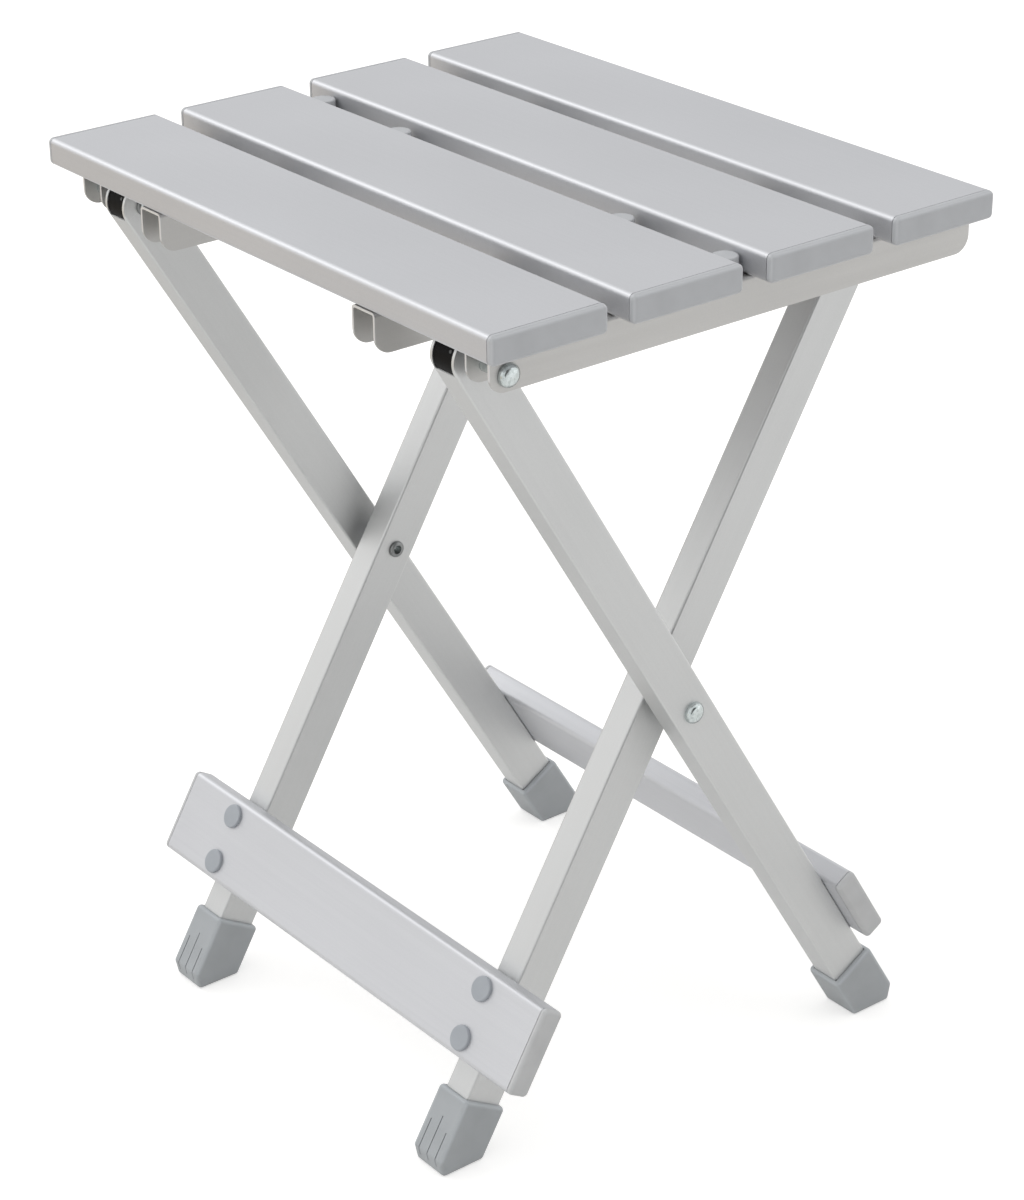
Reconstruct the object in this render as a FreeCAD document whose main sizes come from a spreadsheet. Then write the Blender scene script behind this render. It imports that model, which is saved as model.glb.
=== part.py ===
import FreeCAD, Part
import math
import os
import Sketcher
from FreeCAD import Placement, Rotation, Vector

# Sizes in millimetres
SIZES = {
    "seat_height": 435,
    "slat_length": 330.6,
    "slat_width": 60,
    "slat_thick": 13,
    "slat_corner": 2.5,
    "slat_wall": 1.4,
    "slat_gap": 13,
    "middle_gap": 15,
    "cap_thick": 3.2,
    "cap_round": 2,
    "seam_width": 0.3,
    "plug_wall": 1.6,
    "plug_clear": 2.6,
    "fit_play": 0.1,
    "rail_end_inset": 10.8,
    "rail_width": 16,
    "rail_sheet": 1.1,
    "rail_bend": 1.9,
    "rail_below_pivot": 7.2,
    "rail_end_round": 8,
    "rail_pivot_inset": 9.5,
    "pivot_end_inset": 9.5,
    "rail_free_inset": 0.5,
    "rail_rivet_half_pitch": 16,
    "pivot_clear": 0.5,
    "cross_height": 208,
    "tube_width": 16,
    "tube_depth": 22,
    "tube_wall": 1.5,
    "tube_corner": 1.2,
    "leg_plug_depth": 14,
    "leg_plug_inset": 0.5,
    "rail_gap": 5.5,
    "turn_play": 0.2,
    "pin_diameter": 6,
    "pin_play": 0.05,
    "pin_head_diameter": 10.6,
    "pin_head_height": 2.4,
    "pin_head_round": 2.1,
    "pin_tail_diameter": 8.4,
    "pin_tail_height": 1.2,
    "pin_tail_bore": 4.6,
    "sleeve_diameter": 9,
    "boot_floor": 16.4,
    "boot_grip": 18,
    "boot_side_wall": 2.7,
    "boot_end_wall": 2,
    "boot_pass": 0.4,
    "boot_round": 2.2,
    "boot_toe_rise": 10.4,
    "boot_toe_cut": 6.2,
    "slit_width": 0.55,
    "slit_depth": 0.7,
    "slit_pitch": 6.2,
    "slit_length": 19.5,
    "bar_overhang": 8.5,
    "bar_height": 43,
    "bar_thick": 12,
    "bar_above_boot": 17.3,
    "bar_cap_thick": 3,
    "screw_edge": 9,
    "rear_button_gap": 3.8,
    "screw_diameter": 4,
    "screw_head_diameter": 8,
    "screw_head_height": 3,
    "screw_reach": 8,
    "button_diameter": 12.2,
    "button_height": 1.6,
    "button_round": 0.8,
    "button_bore": 9.4,
    "button_stem": 4,
    "stud_play": 0.3,
    "stud_diameter": 12,
    "stud_height": 9,
    "stud_round": 0.9,
    "stud_stem": 5,
    "stud_barb": 7,
    "stud_barb_height": 3,
    "rivet_diameter": 4,
    "rivet_head_diameter": 8,
    "rivet_head_height": 1.6,
    "rivet_bulb_diameter": 5.8,
    "rivet_bulb_height": 3.5,
}

doc = FreeCAD.newDocument("FoldingStool")
sheet = doc.addObject("Spreadsheet::Sheet", "Sizes")
for row, (alias, number) in enumerate(SIZES.items(), start=1):
    sheet.set(f"A{row}", alias)
    sheet.set(f"B{row}", str(number))
    sheet.setAlias(f"B{row}", alias)
doc.recompute()


class Dim:
    """A length that carries its value and the sheet formula it comes from."""

    def __init__(self, value, formula):
        self.value = float(value)
        self.formula = formula

    def __add__(self, other):
        other = as_dim(other)
        return Dim(self.value + other.value, f"({self.formula} + {other.formula})")

    def __sub__(self, other):
        other = as_dim(other)
        return Dim(self.value - other.value, f"({self.formula} - {other.formula})")

    def __mul__(self, other):
        other = as_dim(other)
        return Dim(self.value * other.value, f"({self.formula} * {other.formula})")

    def __truediv__(self, other):
        other = as_dim(other)
        return Dim(self.value / other.value, f"({self.formula} / {other.formula})")

    def __neg__(self):
        return Dim(-self.value, f"(0 - {self.formula})")


def as_dim(number):
    """Wrap a plain number so that it can join a formula."""
    if isinstance(number, Dim):
        return number
    return Dim(number, f"({number})")


def dim(alias):
    """Read one aliased cell of the sheet."""
    return Dim(getattr(sheet, alias), f"Sizes.{alias}")


def root(square):
    """Square root of a length product."""
    return Dim(math.sqrt(square.value), f"sqrt({square.formula})")


ZERO = as_dim(0)

# Seat layout from front to rear
SEAT_HALF_DEPTH = dim("slat_width") * 2 + dim("slat_gap") + dim("middle_gap") / 2
INNER_SLAT_Y = dim("middle_gap") / 2 + dim("slat_width") / 2
OUTER_SLAT_Y = INNER_SLAT_Y + dim("slat_width") + dim("slat_gap")
SLAT_Y = {1: -OUTER_SLAT_Y, 2: -INNER_SLAT_Y, 3: INNER_SLAT_Y, 4: OUTER_SLAT_Y}
PIVOT_END = SEAT_HALF_DEPTH - dim("rail_pivot_inset")
FREE_END = SEAT_HALF_DEPTH - dim("rail_free_inset")
PIVOT_SPAN = PIVOT_END - dim("pivot_end_inset")

# Heights and the lean of the open legs
SLAT_BOTTOM = dim("seat_height") - dim("slat_thick")
PIVOT_DROP = dim("tube_depth") / 2 + dim("pivot_clear")
RAIL_HEIGHT = PIVOT_DROP + dim("rail_below_pivot")
TOP_PIVOT = SLAT_BOTTOM - PIVOT_DROP
RISE = TOP_PIVOT - dim("cross_height")
UPPER_LEG = root(PIVOT_SPAN * PIVOT_SPAN + RISE * RISE)
LEAN_SINE = PIVOT_SPAN / UPPER_LEG
LEAN_COSINE = RISE / UPPER_LEG
LEAN_ANGLE = Dim(
    math.degrees(math.atan2(PIVOT_SPAN.value, RISE.value)),
    f"atan({PIVOT_SPAN.formula} / {RISE.formula})",
)

# Lengths along a leg below the crossing
TUBE_END = dim("cross_height") / LEAN_COSINE - dim("boot_floor")
COLLAR = TUBE_END - dim("boot_grip")
BAR_BELOW = COLLAR - dim("bar_above_boot") - dim("bar_height") / 2

# Side to side stack from the slat ends in to the inner rails
BOOT_WIDTH = dim("tube_width") + (dim("fit_play") + dim("boot_side_wall")) * 2
BOOT_DEPTH = dim("tube_depth") + (dim("fit_play") + dim("boot_end_wall")) * 2
LEG_PITCH = BOOT_WIDTH + dim("boot_pass")
LEG_GAP = LEG_PITCH - dim("tube_width")
RAIL_TO_LEG = dim("rail_width") / 2 + dim("rail_gap") + dim("tube_width") / 2
OUTER_RAIL_X = dim("slat_length") / 2 - dim("rail_end_inset") - dim("rail_width") / 2
OUTER_LEG_X = OUTER_RAIL_X - RAIL_TO_LEG
INNER_LEG_X = OUTER_LEG_X - LEG_PITCH
INNER_RAIL_X = INNER_LEG_X - RAIL_TO_LEG
BAR_LENGTH = (OUTER_LEG_X + dim("tube_width") / 2 + dim("bar_overhang")) * 2
SCREW_HALF_PITCH = {
    -1: dim("bar_height") / 2 - dim("screw_edge"),
    1: (dim("button_diameter") + dim("rear_button_gap")) / 2,
}
PIN_BORE = dim("pin_diameter") + dim("pin_play") * 2
SIDES = (("left", -1), ("right", 1))
LEG_OUTWARD = {"outer": 1, "inner": -1}
LEG_X = {"outer": OUTER_LEG_X, "inner": INNER_LEG_X}

nodes = {}


def new_body(label):
    """Start an empty body."""
    body = doc.addObject("PartDesign::Body", label)
    body.Label = label
    return body


def keep(label, item):
    """Record a finished document object under its node name."""
    item.Label = label
    nodes[label] = item
    return item


def place(body, x=ZERO, y=ZERO, z=ZERO, lean=0, turn=0):
    """Bind a body to its place: lean is +1 or -1 along a leg frame, turn is about the vertical."""
    if lean:
        body.Placement = Placement(Vector(), Rotation(Vector(lean, 0, 0), LEAN_ANGLE.value))
        body.setExpression("Placement.Rotation.Angle", LEAN_ANGLE.formula)
    elif turn:
        body.Placement = Placement(Vector(), Rotation(Vector(0, 0, 1), turn))
    for axis, offset in zip("xyz", (x, y, z)):
        body.setExpression(f"Placement.Base.{axis}", offset.formula)


def sketch_on(body, role, x=ZERO, y=ZERO, z=ZERO):
    """Attach a sketch to one origin plane of its own body, shifted in the sketch frame."""
    sketch = body.newObject("Sketcher::SketchObject", f"{body.Name}_sketch")
    plane = next(item for item in body.Origin.OriginFeatures if item.Role == role)
    sketch.AttachmentSupport = [(plane, "")]
    sketch.MapMode = "FlatFace"
    for axis, offset in zip("xyz", (x, y, z)):
        if offset is not ZERO:
            sketch.setExpression(f"AttachmentOffset.Base.{axis}", offset.formula)
    return sketch


def bind(sketch, constraint, formula):
    """Add a dimension and bind it to a formula."""
    index = sketch.addConstraint(constraint)
    sketch.setExpression(f"Constraints[{index}]", formula)


def pin_point(sketch, geometry, position, x, y):
    """Fix one sketch point by its two coordinates."""
    for kind, axis_line, offset in (("DistanceX", -2, x), ("DistanceY", -1, y)):
        if abs(offset.value) < 1e-9:
            sketch.addConstraint(Sketcher.Constraint("PointOnObject", geometry, position, axis_line))
        elif offset.value > 0:
            bind(sketch, Sketcher.Constraint(kind, -1, 1, geometry, position, offset.value), offset.formula)
        else:
            low = -offset
            bind(sketch, Sketcher.Constraint(kind, geometry, position, -1, 1, low.value), low.formula)


def polygon(sketch, points):
    """Draw a closed outline through fully dimensioned points."""
    first = sketch.GeometryCount
    count = len(points)
    for index, (x, y) in enumerate(points):
        next_x, next_y = points[(index + 1) % count]
        start = Vector(x.value, y.value, 0)
        end = Vector(next_x.value, next_y.value, 0)
        sketch.addGeometry(Part.LineSegment(start, end), False)
    for index in range(count):
        follower = first + (index + 1) % count
        sketch.addConstraint(Sketcher.Constraint("Coincident", first + index, 2, follower, 1))
    for index, (x, y) in enumerate(points):
        pin_point(sketch, first + index, 1, x, y)


def rectangle(sketch, width, height, x=ZERO, y=ZERO):
    """Draw a rectangle about a centre."""
    left, right = x - width / 2, x + width / 2
    low, high = y - height / 2, y + height / 2
    polygon(sketch, [(left, low), (right, low), (right, high), (left, high)])


def circle(sketch, diameter, x=ZERO, y=ZERO):
    """Draw a circle about a centre."""
    centre = Vector(x.value, y.value, 0)
    index = sketch.addGeometry(Part.Circle(centre, Vector(0, 0, 1), diameter.value / 2), False)
    pin_point(sketch, index, 3, x, y)
    bind(sketch, Sketcher.Constraint("Diameter", index, diameter.value), diameter.formula)


def pad(body, sketch, length, reverse=False):
    """Raise a sketch into material."""
    feature = body.newObject("PartDesign::Pad", f"{body.Name}_pad")
    feature.Profile = sketch
    feature.Reversed = reverse
    feature.setExpression("Length", length.formula)
    doc.recompute()
    return feature


def cut(body, sketch, depth=None, reverse=False):
    """Cut a sketch into the body, right through when no depth is given, and confirm that it bites."""
    before = body.Shape.Volume
    feature = body.newObject("PartDesign::Pocket", f"{body.Name}_pocket")
    feature.Profile = sketch
    feature.Reversed = reverse
    if depth is None:
        feature.Type = "ThroughAll"
    else:
        feature.setExpression("Length", depth.formula)
    doc.recompute()
    if body.Shape.Volume >= before - 1e-6:
        raise RuntimeError(f"{body.Label}: a pocket removes nothing")
    return feature


def revolve(body, sketch, axis):
    """Turn a profile about one axis of its sketch."""
    feature = body.newObject("PartDesign::Revolution", f"{body.Name}_turned")
    feature.Profile = sketch
    feature.ReferenceAxis = (sketch, [axis])
    feature.Angle = 360
    doc.recompute()
    return feature


def fillet(body, base, names, radius):
    """Round the named edges of a feature."""
    feature = body.newObject("PartDesign::Fillet", f"{body.Name}_fillet")
    feature.Base = (base, names)
    feature.setExpression("Radius", radius.formula)
    doc.recompute()
    return feature


def edges(feature, test):
    """Names of the edges of a feature that pass a test."""
    return [f"Edge{i}" for i, edge in enumerate(feature.Shape.Edges, start=1) if test(edge)]


def runs_along(edge, axis):
    """Whether an edge is straight and parallel to an axis."""
    if edge.Curve.TypeId != "Part::GeomLine":
        return False
    return abs(edge.Curve.Direction.dot(axis)) > 0.999


X_AXIS, Y_AXIS, Z_AXIS = Vector(1, 0, 0), Vector(0, 1, 0), Vector(0, 0, 1)


def group(label, bodies):
    """Gather identical fasteners in one node."""
    compound = doc.addObject("Part::Compound", label)
    compound.Links = bodies
    return keep(label, compound)


# Hollow bars: seat slats and crossbars share this build
def hollow_bar(label, length, depth, height):
    """Extrude a rounded hollow section along X."""
    body = new_body(label)
    sketch = sketch_on(body, "YZ_Plane")
    rectangle(sketch, depth, height)
    rectangle(sketch, depth - dim("slat_wall") * 2, height - dim("slat_wall") * 2)
    raised = pad(body, sketch, length)
    limit = depth.value / 2 - 1e-3
    outside = edges(raised, lambda e: runs_along(e, X_AXIS) and abs(e.CenterOfMass.y) > limit)
    rounded = fillet(body, raised, outside, dim("slat_corner"))
    reach = depth.value / 2 - dim("slat_wall").value
    inside = edges(
        rounded,
        lambda e: runs_along(e, X_AXIS)
        and abs(abs(e.CenterOfMass.y) - reach) < 1e-3
        and abs(e.CenterOfMass.z) > height.value / 2 - dim("slat_wall").value - 1e-3,
    )
    fillet(body, rounded, inside, dim("slat_corner") - dim("slat_wall"))
    return body


def bar_cap(label, depth, height, thick, plug_depth, sign):
    """Make an end cap: a rounded lid, a shoulder that leaves a seam to the bar, and a hollow plug inside it."""
    body = new_body(label)
    lid_sketch = sketch_on(body, "YZ_Plane", z=dim("seam_width") * sign)
    rectangle(lid_sketch, depth, height)
    lid = pad(body, lid_sketch, thick - dim("seam_width"), reverse=sign < 0)
    corners = fillet(body, lid, edges(lid, lambda e: runs_along(e, X_AXIS)), dim("slat_corner"))
    rim = edges(corners, lambda e: e.CenterOfMass.x * sign > thick.value - 1e-3)
    fillet(body, corners, rim, dim("cap_round"))
    shoulder_sketch = sketch_on(body, "YZ_Plane")
    inset = dim("slat_corner") * 0.66
    rectangle(shoulder_sketch, depth - inset, height - inset)
    pad(body, shoulder_sketch, dim("seam_width"), reverse=sign < 0)
    plug_sketch = sketch_on(body, "YZ_Plane")
    shrink = dim("slat_wall") * 2 + dim("fit_play") * 2
    rectangle(plug_sketch, depth - shrink, height - shrink)
    hollow = shrink + dim("plug_wall") * 2
    rectangle(plug_sketch, depth - hollow, height - hollow)
    plug = pad(body, plug_sketch, plug_depth, reverse=sign > 0)
    reach = (depth - shrink).value / 2 - 1e-3
    long_edges = edges(
        plug,
        lambda e: runs_along(e, X_AXIS) and e.CenterOfMass.x * sign < 0 and abs(e.CenterOfMass.y) > reach,
    )
    fillet(body, plug, long_edges, dim("slat_corner") - dim("slat_wall"))
    return body


# Seat slats with their end caps, whose plugs stop short of the rail rivets
SLAT_PLUG = dim("rail_end_inset") + dim("rail_width") / 2 - dim("rivet_bulb_diameter") / 2 - dim("plug_clear")
SLAT_CAP = (dim("slat_width"), dim("slat_thick"), dim("cap_thick"), SLAT_PLUG)
for number, slat_y in SLAT_Y.items():
    slat = hollow_bar(f"slat_{number}", dim("slat_length"), dim("slat_width"), dim("slat_thick"))
    place(slat, -dim("slat_length") / 2, slat_y, dim("seat_height") - dim("slat_thick") / 2)
    bores = sketch_on(slat, "XY_Plane")
    rail_x = OUTER_RAIL_X if number > 2 else INNER_RAIL_X
    for _, sign in SIDES:
        for step in (-1, 1):
            along = dim("slat_length") / 2 + rail_x * sign
            circle(bores, dim("rivet_diameter"), along, dim("rail_rivet_half_pitch") * step)
    cut(slat, bores, dim("slat_thick") / 2)
    keep(slat.Label, slat)
    for side, sign in SIDES:
        cap = bar_cap(f"slat_{number}_cap_{side}", *SLAT_CAP, sign)
        place(cap, dim("slat_length") / 2 * sign, slat_y, dim("seat_height") - dim("slat_thick") / 2)
        keep(cap.Label, cap)


# Channel rails under the slats
def rail(label, front, rear, pivot_y, own_slats, stud_y):
    """Bend a channel with its open side down, rounded ends, a pivot bore and rivet bores."""
    body = new_body(label)
    half = dim("rail_width") / 2
    inner = half - dim("rail_sheet")
    section = sketch_on(body, "XZ_Plane", z=-front)
    polygon(
        section,
        [
            (-half, ZERO),
            (-half, -RAIL_HEIGHT),
            (-inner, -RAIL_HEIGHT),
            (-inner, -dim("rail_sheet")),
            (inner, -dim("rail_sheet")),
            (inner, -RAIL_HEIGHT),
            (half, -RAIL_HEIGHT),
            (half, ZERO),
        ],
    )
    raised = pad(body, section, rear - front, reverse=True)
    top = edges(raised, lambda e: runs_along(e, Y_AXIS) and e.CenterOfMass.z > -1e-3)
    bent = fillet(body, raised, top, dim("rail_bend"))
    sheet_under = -dim("rail_sheet").value
    under = edges(
        bent,
        lambda e: runs_along(e, Y_AXIS)
        and abs(e.CenterOfMass.z - sheet_under) < 1e-3
        and abs(abs(e.CenterOfMass.x) - inner.value) < 1e-3,
    )
    bent = fillet(body, bent, under, dim("rail_bend") - dim("rail_sheet"))
    floor = 1e-3 - RAIL_HEIGHT.value
    ends = edges(bent, lambda e: runs_along(e, X_AXIS) and e.CenterOfMass.z < floor)
    fillet(body, bent, ends, dim("rail_end_round"))
    pivot = sketch_on(body, "YZ_Plane", z=dim("rail_width"))
    circle(pivot, PIN_BORE, pivot_y, -PIVOT_DROP)
    cut(body, pivot)
    bores = sketch_on(body, "XY_Plane", z=dim("rail_sheet"))
    circle(bores, dim("stud_stem"), ZERO, stud_y)
    for slat_number in own_slats:
        for step in (-1, 1):
            spot = SLAT_Y[slat_number] + dim("rail_rivet_half_pitch") * step
            circle(bores, dim("rivet_diameter"), ZERO, spot)
    cut(body, bores)
    return body


STUD_Y = dim("middle_gap") / 2 - dim("stud_play") - dim("stud_diameter") / 2
RAILS = {
    "outer": (OUTER_RAIL_X, -PIVOT_END, FREE_END, -PIVOT_SPAN, (3, 4), STUD_Y),
    "inner": (INNER_RAIL_X, -FREE_END, PIVOT_END, PIVOT_SPAN, (1, 2), -STUD_Y),
}


def slat_rivet(label):
    """Turn a blind rivet: a low head under the rail sheet and a set bulb inside the slat."""
    body = new_body(label)
    profile = sketch_on(body, "XZ_Plane")
    under = -dim("rail_sheet")
    top = dim("slat_wall") + dim("rivet_bulb_height")
    bevel = dim("rivet_head_height") * 0.7
    polygon(
        profile,
        [
            (ZERO, under - dim("rivet_head_height")),
            (dim("rivet_head_diameter") / 2 - bevel, under - dim("rivet_head_height")),
            (dim("rivet_head_diameter") / 2, under - dim("rivet_head_height") + bevel),
            (dim("rivet_head_diameter") / 2, under),
            (dim("rivet_diameter") / 2, under),
            (dim("rivet_diameter") / 2, dim("slat_wall")),
            (dim("rivet_bulb_diameter") / 2, dim("slat_wall")),
            (dim("rivet_bulb_diameter") / 2, top),
            (ZERO, top),
        ],
    )
    revolve(body, profile, "V_Axis")
    return body


def stud(label):
    """Turn a bumper stud: a flat round head and a stem with a barb that snaps through the rail."""
    body = new_body(label)
    profile = sketch_on(body, "XZ_Plane")
    under = -dim("rail_sheet")
    tip = under - dim("stud_barb_height")
    radius = dim("stud_diameter") / 2
    polygon(
        profile,
        [
            (ZERO, tip),
            (dim("stud_stem") / 2 * 0.7, tip),
            (dim("stud_barb") / 2, under),
            (dim("stud_stem") / 2, under),
            (dim("stud_stem") / 2, ZERO),
            (radius, ZERO),
            (radius, dim("stud_height")),
            (ZERO, dim("stud_height")),
        ],
    )
    turned = revolve(body, profile, "V_Axis")
    high = dim("stud_height").value
    rim = edges(turned, lambda e: abs(e.CenterOfMass.z - high) < 1e-3 and e.Curve.TypeId == "Part::GeomCircle")
    fillet(body, turned, rim, dim("stud_round"))
    return body


for kind, (rail_x, front, rear, pivot_y, own_slats, stud_y) in RAILS.items():
    rivets = []
    for side, sign in SIDES:
        channel = rail(f"{kind}_rail_{side}", front, rear, pivot_y, own_slats, stud_y)
        place(channel, rail_x * sign, ZERO, SLAT_BOTTOM)
        keep(channel.Label, channel)
        bumper = stud(f"{kind}_stud_{side}")
        place(bumper, rail_x * sign, stud_y, SLAT_BOTTOM)
        keep(bumper.Label, bumper)
        for slat_number in own_slats:
            for step in (-1, 1):
                rivet = slat_rivet(f"{kind}_rivet")
                spot = SLAT_Y[slat_number] + dim("rail_rivet_half_pitch") * step
                place(rivet, rail_x * sign, spot, SLAT_BOTTOM)
                rivets.append(rivet)
    group(f"{kind}_rail_rivets", rivets)


# Legs: round topped tubes built along their own axis from the crossing
def round_top(sketch, radius):
    """Outline the waste above a half round end about the top pivot."""
    arc = sketch.addGeometry(
        Part.ArcOfCircle(
            Part.Circle(Vector(0, UPPER_LEG.value, 0), Vector(0, 0, 1), radius.value), 0, math.pi
        ),
        False,
    )
    wide = radius * 2
    corners = [(wide, UPPER_LEG), (wide, UPPER_LEG + wide), (-wide, UPPER_LEG + wide), (-wide, UPPER_LEG)]
    spots = [(radius, UPPER_LEG)] + corners + [(-radius, UPPER_LEG)]
    first = sketch.GeometryCount
    for (x, y), (next_x, next_y) in zip(spots, spots[1:]):
        line = Part.LineSegment(Vector(x.value, y.value, 0), Vector(next_x.value, next_y.value, 0))
        sketch.addGeometry(line, False)
    for index in range(len(spots) - 2):
        sketch.addConstraint(Sketcher.Constraint("Coincident", first + index, 2, first + index + 1, 1))
    sketch.addConstraint(Sketcher.Constraint("Coincident", arc, 1, first, 1))
    sketch.addConstraint(Sketcher.Constraint("Coincident", arc, 2, first + len(spots) - 2, 2))
    for index, (x, y) in enumerate(corners):
        pin_point(sketch, first + index, 2, x, y)
    pin_point(sketch, arc, 3, ZERO, UPPER_LEG)
    bind(sketch, Sketcher.Constraint("Radius", arc, radius.value), radius.formula)
    sketch.addConstraint(Sketcher.Constraint("Horizontal", first))


def leg(label, outward):
    """Make a leg tube with two half round tongues at the top, pivot bores and crossbar bores."""
    body = new_body(label)
    section = sketch_on(body, "XY_Plane", z=-TUBE_END)
    rectangle(section, dim("tube_width"), dim("tube_depth"))
    rectangle(section, dim("tube_width") - dim("tube_wall") * 2, dim("tube_depth") - dim("tube_wall") * 2)
    raised = pad(body, section, TUBE_END + UPPER_LEG + dim("tube_depth") / 2)
    limit = dim("tube_width").value / 2 - 1e-3
    outside = edges(raised, lambda e: runs_along(e, Z_AXIS) and abs(e.CenterOfMass.x) > limit)
    fillet(body, raised, outside, dim("tube_corner"))
    waste = sketch_on(body, "YZ_Plane", z=dim("tube_width"))
    round_top(waste, dim("tube_depth") / 2)
    cut(body, waste)
    notch = sketch_on(body, "XZ_Plane", z=dim("tube_depth"))
    room = dim("tube_depth")
    rectangle(notch, dim("tube_width") - dim("tube_wall") * 2, room, ZERO, UPPER_LEG + room / 2)
    cut(body, notch)
    bores = sketch_on(body, "YZ_Plane", z=dim("tube_width"))
    circle(bores, PIN_BORE)
    circle(bores, PIN_BORE, ZERO, UPPER_LEG)
    cut(body, bores)
    screws = sketch_on(body, "XZ_Plane")
    for step in (-1, 1):
        spot = SCREW_HALF_PITCH[outward] * step - BAR_BELOW
        circle(screws, dim("screw_diameter"), ZERO, spot)
    cut(body, screws, dim("tube_depth"), reverse=outward < 0)
    return body


def leg_plug(label):
    """Make the plug of a leg tube: a half round head between the tongues and a block down the bore."""
    body = new_body(label)
    shrink = dim("tube_wall") * 2 + dim("fit_play") * 2
    radius = dim("tube_depth") / 2 - dim("leg_plug_inset")
    head = sketch_on(body, "XY_Plane", z=UPPER_LEG)
    rectangle(head, dim("tube_width") - shrink, radius * 2)
    pad(body, head, dim("tube_depth") / 2)
    waste = sketch_on(body, "YZ_Plane", z=dim("tube_width"))
    round_top(waste, radius)
    cut(body, waste)
    block = sketch_on(body, "XY_Plane", z=UPPER_LEG)
    rectangle(block, dim("tube_width") - shrink, dim("tube_depth") - shrink)
    pad(body, block, dim("leg_plug_depth"), reverse=True)
    bore = sketch_on(body, "YZ_Plane", z=dim("tube_width"))
    circle(bore, PIN_BORE, ZERO, UPPER_LEG)
    cut(body, bore)
    return body


def boot(label, outward):
    """Mould a boot: flat sole at the open lean, cut toe, tube socket and three slits that run over the toe."""
    body = new_body(label)
    half = BOOT_DEPTH / 2

    def sole(v):
        return -((dim("cross_height") + v * LEAN_SINE) / LEAN_COSINE)

    toe = half - dim("boot_toe_cut")
    outline = [
        (-half, -COLLAR),
        (half, -COLLAR),
        (half, sole(half) + dim("boot_toe_rise")),
        (toe, sole(toe)),
        (-half, sole(-half)),
    ]
    profile = sketch_on(body, "YZ_Plane", z=-BOOT_WIDTH / 2)
    polygon(profile, [(v * outward, z) for v, z in outline])
    block = pad(body, profile, BOOT_WIDTH)
    fillet(body, block, edges(block, lambda e: True), dim("boot_round"))
    socket = sketch_on(body, "XY_Plane", z=-COLLAR)
    rectangle(socket, dim("tube_width") + dim("fit_play") * 2, dim("tube_depth") + dim("fit_play") * 2)
    cut(body, socket, dim("boot_grip"))
    brow = sole(half) + dim("boot_toe_rise")
    fall = brow - sole(toe)
    slope = root(fall * fall + dim("boot_toe_cut") * dim("boot_toe_cut"))
    inward, down = fall / slope, dim("boot_toe_cut") / slope
    deep = half - dim("slit_depth")
    turn = dim("slit_depth") * (as_dim(1) - inward) / dim("boot_toe_cut")
    low_v, low_z = half - dim("boot_toe_cut") / 2, brow - fall / 2
    for step, share in ((-1, 0.78), (0, 1.0), (1, 0.7)):
        track = [
            (half + 2, brow + dim("slit_length") * share),
            (deep, brow + dim("slit_length") * share),
            (deep, brow + dim("slit_depth") * down - fall * turn),
            (low_v - dim("slit_depth") * inward, low_z + dim("slit_depth") * down),
            (low_v + inward * 2, low_z - down * 2),
            (half + 2, brow),
        ]
        slit = sketch_on(body, "YZ_Plane", z=dim("slit_pitch") * step - dim("slit_width") / 2)
        polygon(slit, [(v * outward, z) for v, z in track])
        cut(body, slit, dim("slit_width"), reverse=True)
    return body


for kind, outward in LEG_OUTWARD.items():
    for side, sign in SIDES:
        frame = {"x": LEG_X[kind] * sign, "z": dim("cross_height"), "lean": outward}
        tube = leg(f"{kind}_leg_{side}", outward)
        place(tube, **frame)
        keep(tube.Label, tube)
        plug = leg_plug(f"{kind}_leg_plug_{side}")
        place(plug, **frame)
        keep(plug.Label, plug)
        shoe = boot(f"{kind}_boot_{side}", outward)
        place(shoe, **frame)
        keep(shoe.Label, shoe)


# Crossbars on the outward narrow faces of the legs
BAR_MIDDLE = dim("tube_depth") / 2 + dim("bar_thick") / 2
BAR_PLUG = dim("bar_overhang") + dim("tube_width") / 2 - dim("button_bore") / 2 - dim("plug_clear")
BAR_CAP = (dim("bar_thick"), dim("bar_height"), dim("bar_cap_thick"), BAR_PLUG)


def bar_screw(label, x, z, outward):
    """Turn a screw whose head sits on the back wall of the bar, inside it."""
    body = new_body(label)
    profile = sketch_on(body, "XY_Plane", x=x, z=z)
    seat = (dim("tube_depth") / 2 + dim("slat_wall")) * outward
    tip = (dim("tube_depth") / 2 - dim("screw_reach")) * outward
    crown = seat + dim("screw_head_height") * outward
    polygon(
        profile,
        [
            (ZERO, tip),
            (dim("screw_diameter") / 2, tip),
            (dim("screw_diameter") / 2, seat),
            (dim("screw_head_diameter") / 2, seat),
            (dim("screw_head_diameter") / 2, crown),
            (ZERO, crown),
        ],
    )
    revolve(body, profile, "V_Axis")
    return body


def bar_button(label, x, z, outward):
    """Turn a cover button with a stem in the access bore of the bar."""
    body = new_body(label)
    profile = sketch_on(body, "XY_Plane", x=x, z=z)
    face = (dim("tube_depth") / 2 + dim("bar_thick")) * outward
    crown = face + dim("button_height") * outward
    back = face - dim("button_stem") * outward
    stem = dim("button_bore") / 2 - dim("fit_play")
    polygon(
        profile,
        [
            (ZERO, back),
            (stem, back),
            (stem, face),
            (dim("button_diameter") / 2, face),
            (dim("button_diameter") / 2, crown),
            (ZERO, crown),
        ],
    )
    turned = revolve(body, profile, "V_Axis")
    rim = edges(
        turned,
        lambda e: e.Curve.TypeId == "Part::GeomCircle" and abs(e.CenterOfMass.y - crown.value) < 1e-3,
    )
    fillet(body, turned, rim, dim("button_round"))
    return body


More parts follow.
